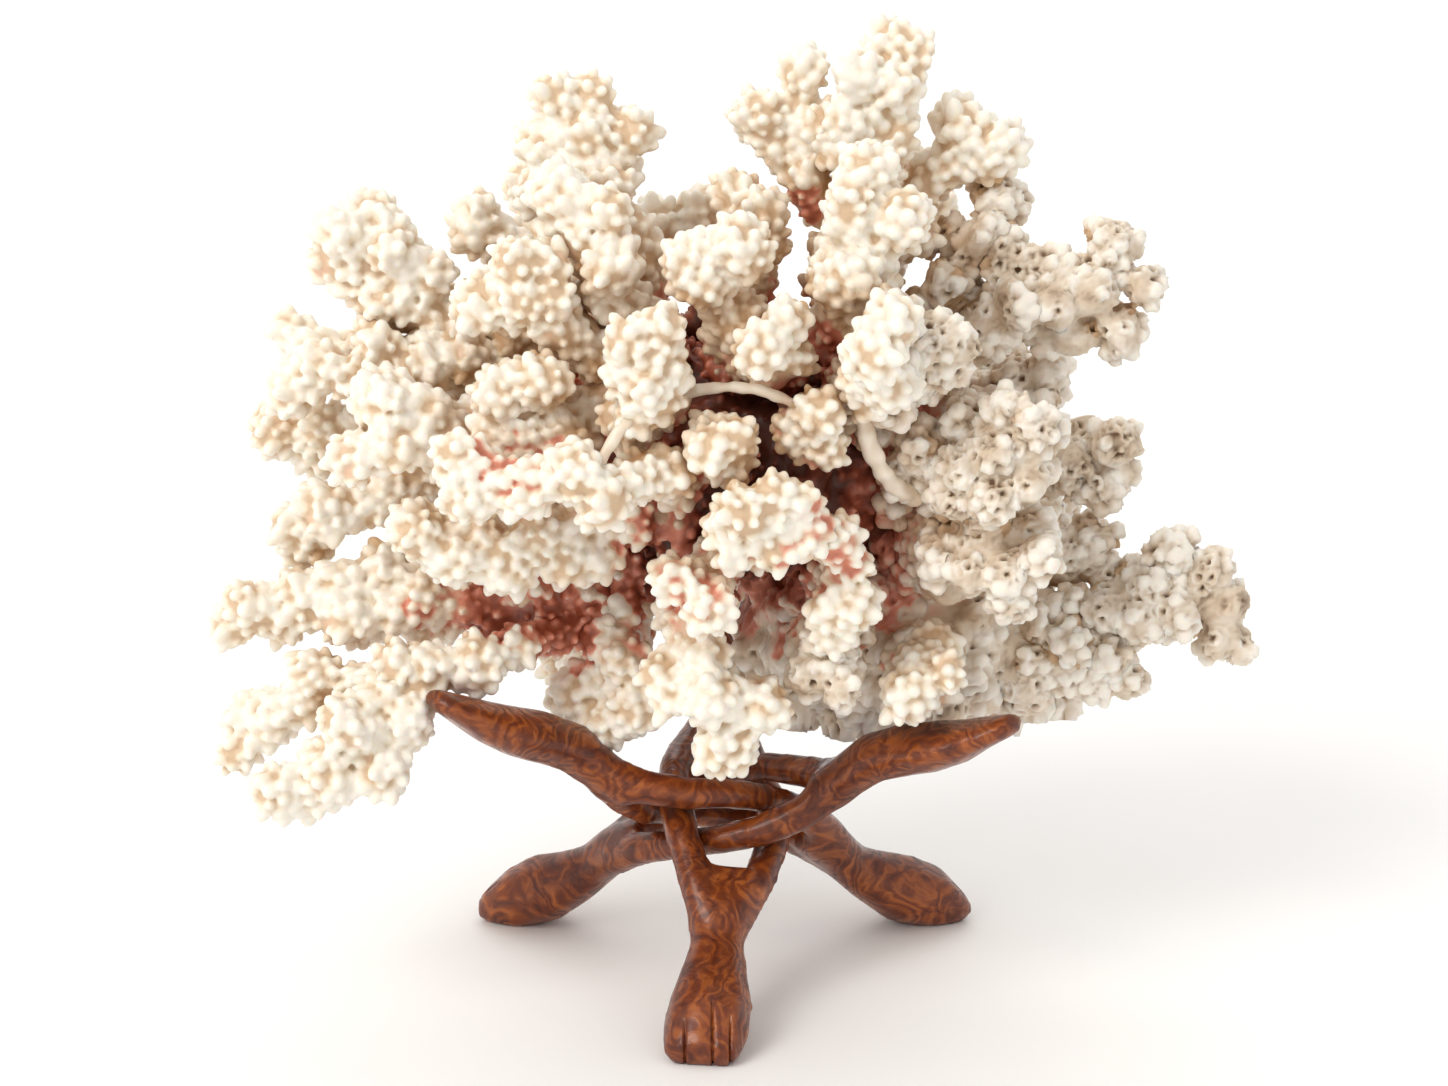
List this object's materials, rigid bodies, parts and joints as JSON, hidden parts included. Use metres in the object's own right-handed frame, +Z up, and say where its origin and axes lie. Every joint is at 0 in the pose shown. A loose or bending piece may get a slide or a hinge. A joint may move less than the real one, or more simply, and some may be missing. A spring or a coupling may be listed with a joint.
{
  "type": "coral specimen on stand",
  "caption": "Dead white branching coral colony, knobbed all over, resting in the hands of a carved wooden stand of interlocked curved legs.",
  "frame": {"origin": "on the floor, under the middle of the whole", "axes": "+Z up, +X to the right along the longest way, -Y towards the viewer of the colony's best side"},
  "size_m": [0.3662, 0.2188, 0.3445],
  "materials": {
    "carved_wood": "gloss",
    "coral_white": "satin",
    "coral_worn": "matte",
    "coral_red": "matte"
  },
  "bodies": {
    "root": {"arm_left_high": "coral_white", "arm_left_low": "coral_white", "arm_right_inner": "coral_worn", "arm_right_low": "coral_worn", "arm_right_mid": "coral_worn", "arm_right_top": "coral_worn", "arm_right_upper": "coral_worn", "back_high_left": "coral_white", "back_high_mid": "coral_white", "back_high_right": "coral_white", "back_left": "coral_white", "back_low_left": "coral_white", "back_low_mid": "coral_white", "back_low_right": "coral_worn", "back_mid": "coral_white", "back_right": "coral_worn", "back_under_left": "coral_white", "boss_right_high": "coral_worn", "boss_right_low": "coral_worn", "boss_right_mid": "coral_worn", "branch_left_fork": "coral_white", "branch_left_low": "coral_white", "branch_left_mid": "coral_white", "branch_left_upper": "coral_white", "cluster_bottom_front": "coral_white", "cluster_centre_left": "coral_white", "cluster_left_high": "coral_white", "cluster_left_mid": "coral_white", "cluster_top_front": "coral_white", "coral_base": "coral_worn", "coral_core": "coral_red", "front_column": "coral_white", "front_high_mid": "coral_white", "front_high_right": "coral_white", "front_low": "coral_white", "front_mid": "coral_white", "front_right": "coral_white", "front_upper": "coral_white", "hanging_twig": "coral_white", "knob_low_mid": "coral_white", "knob_low_pitted": "coral_worn", "leg_front": "carved_wood", "leg_left": "carved_wood", "leg_right": "carved_wood", "long_lower": "coral_white", "long_upper": "coral_white", "paddle_left_far": "coral_white", "paddle_left_near": "coral_white", "stalk_right": "coral_worn", "stub_right_low": "coral_worn", "tower_far_left": "coral_white", "tower_left": "coral_white", "tower_left_front": "coral_white", "tower_right": "coral_white", "tower_right_front": "coral_white", "tower_right_left_arm": "coral_white", "tower_right_right_arm": "coral_white", "tower_top_back": "coral_white", "tower_top_mid": "coral_white", "twig_top_left": "coral_white"}
  },
  "joints": []
}
